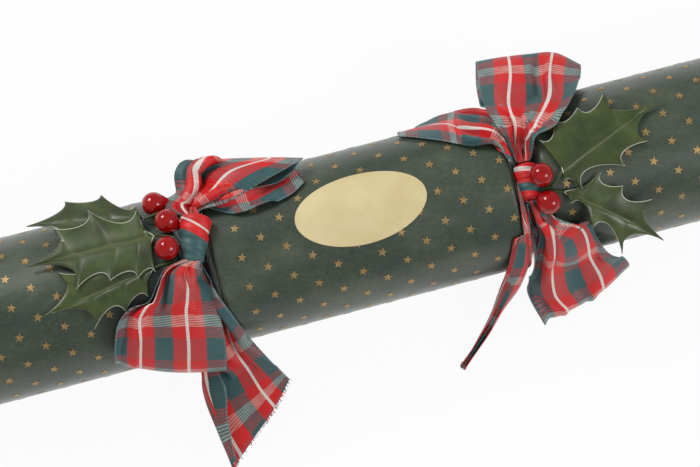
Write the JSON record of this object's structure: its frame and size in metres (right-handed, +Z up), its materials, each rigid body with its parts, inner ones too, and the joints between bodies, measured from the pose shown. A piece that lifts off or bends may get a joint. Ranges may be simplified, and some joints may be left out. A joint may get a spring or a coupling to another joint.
{
  "type": "christmas cracker",
  "caption": "Paper-wrapped table cracker with a barrel and pull-off ends, tied with tartan bows and holly, with a snap, crown, motto and gift inside",
  "frame": {"origin": "on the table under the middle of the barrel", "axes": "+X along the cracker towards its right end, +Y towards the back of the table, +Z up"},
  "size_m": [0.355, 0.1125, 0.0632],
  "materials": {
    "card": "plain grey-brown card, matt",
    "wrapping_paper": "dark green satin paper printed with small gold stars",
    "label_paper": "pale gold satin paper, bare",
    "ribbon": "taffeta ribbon in a red, teal and white tartan",
    "holly_leaf": "glossy dark green coated fabric leaf with pressed veins",
    "holly_stem": "wire wrapped in dark green paper",
    "holly_berry": "glossy red lacquered bead",
    "snap_card": "thin buff card",
    "snap_paper": "thin white paper",
    "snap_charge": "matt dark grey friction paste",
    "crown_tissue": "folded purple tissue",
    "motto_paper": "plain white paper",
    "brass": "turned brass"
  },
  "bodies": {
    "barrel": {"barrel_tube": "card", "barrel_wrapper": "wrapping_paper", "label": "label_paper"},
    "left_end": {"left_wrapper_end": "wrapping_paper", "left_end_tube": "card", "left_bow_band": "ribbon", "left_bow_knot": "ribbon", "left_loop_upper": "ribbon", "left_loop_lower": "ribbon", "left_tail_front": "ribbon", "left_tail_back": "ribbon", "left_leaf_back": "holly_leaf", "left_leaf_lower": "holly_leaf", "left_leaf_front": "holly_leaf", "left_stem_leaf_back": "holly_stem", "left_stem_leaf_lower": "holly_stem", "left_stem_leaf_front": "holly_stem", "left_stem_berry": "holly_stem", "left_berry_back": "holly_berry", "left_berry_middle": "holly_berry", "left_berry_front": "holly_berry", "snap_strip_left": "snap_card", "snap_sleeve": "snap_paper", "snap_charge_left": "snap_charge"},
    "right_end": {"right_wrapper_end": "wrapping_paper", "right_end_tube": "card", "right_bow_band": "ribbon", "right_bow_knot": "ribbon", "right_loop_upper": "ribbon", "right_loop_lower": "ribbon", "right_tail_front": "ribbon", "right_tail_back": "ribbon", "right_leaf_upper": "holly_leaf", "right_leaf_lower": "holly_leaf", "right_stem_leaf_upper": "holly_stem", "right_stem_leaf_lower": "holly_stem", "right_berry_upper": "holly_berry", "right_berry_lower": "holly_berry", "snap_strip_right": "snap_card", "snap_charge_right": "snap_charge"},
    "paper_crown_body": {"paper_crown": "crown_tissue"},
    "motto_body": {"motto_slip": "motto_paper"},
    "spinning_top": {"top_body": "brass", "top_stem": "brass"}
  },
  "joints": [
    {"name": "left_pull", "type": "slide", "parent": "barrel", "child": "left_end", "axis": [-1, 0, 0], "range_m": [0, 0.15]},
    {"name": "right_pull", "type": "slide", "parent": "barrel", "child": "right_end", "axis": [1, 0, 0], "range_m": [0, 0.16]},
    {"name": "crown_slide", "type": "slide", "parent": "barrel", "child": "paper_crown_body", "axis": [1, 0, 0], "range_m": [0, 0.09]},
    {"name": "motto_slide", "type": "slide", "parent": "barrel", "child": "motto_body", "axis": [1, 0, 0], "range_m": [0, 0.1]},
    {"name": "gift_slide", "type": "slide", "parent": "barrel", "child": "spinning_top", "axis": [1, 0, 0], "range_m": [0, 0.08]}
  ],
  "couplings": [
    {"joint": "crown_slide", "follows": "right_pull", "ratio": 0.55},
    {"joint": "motto_slide", "follows": "right_pull", "ratio": 0.6},
    {"joint": "gift_slide", "follows": "right_pull", "ratio": 0.5}
  ]
}
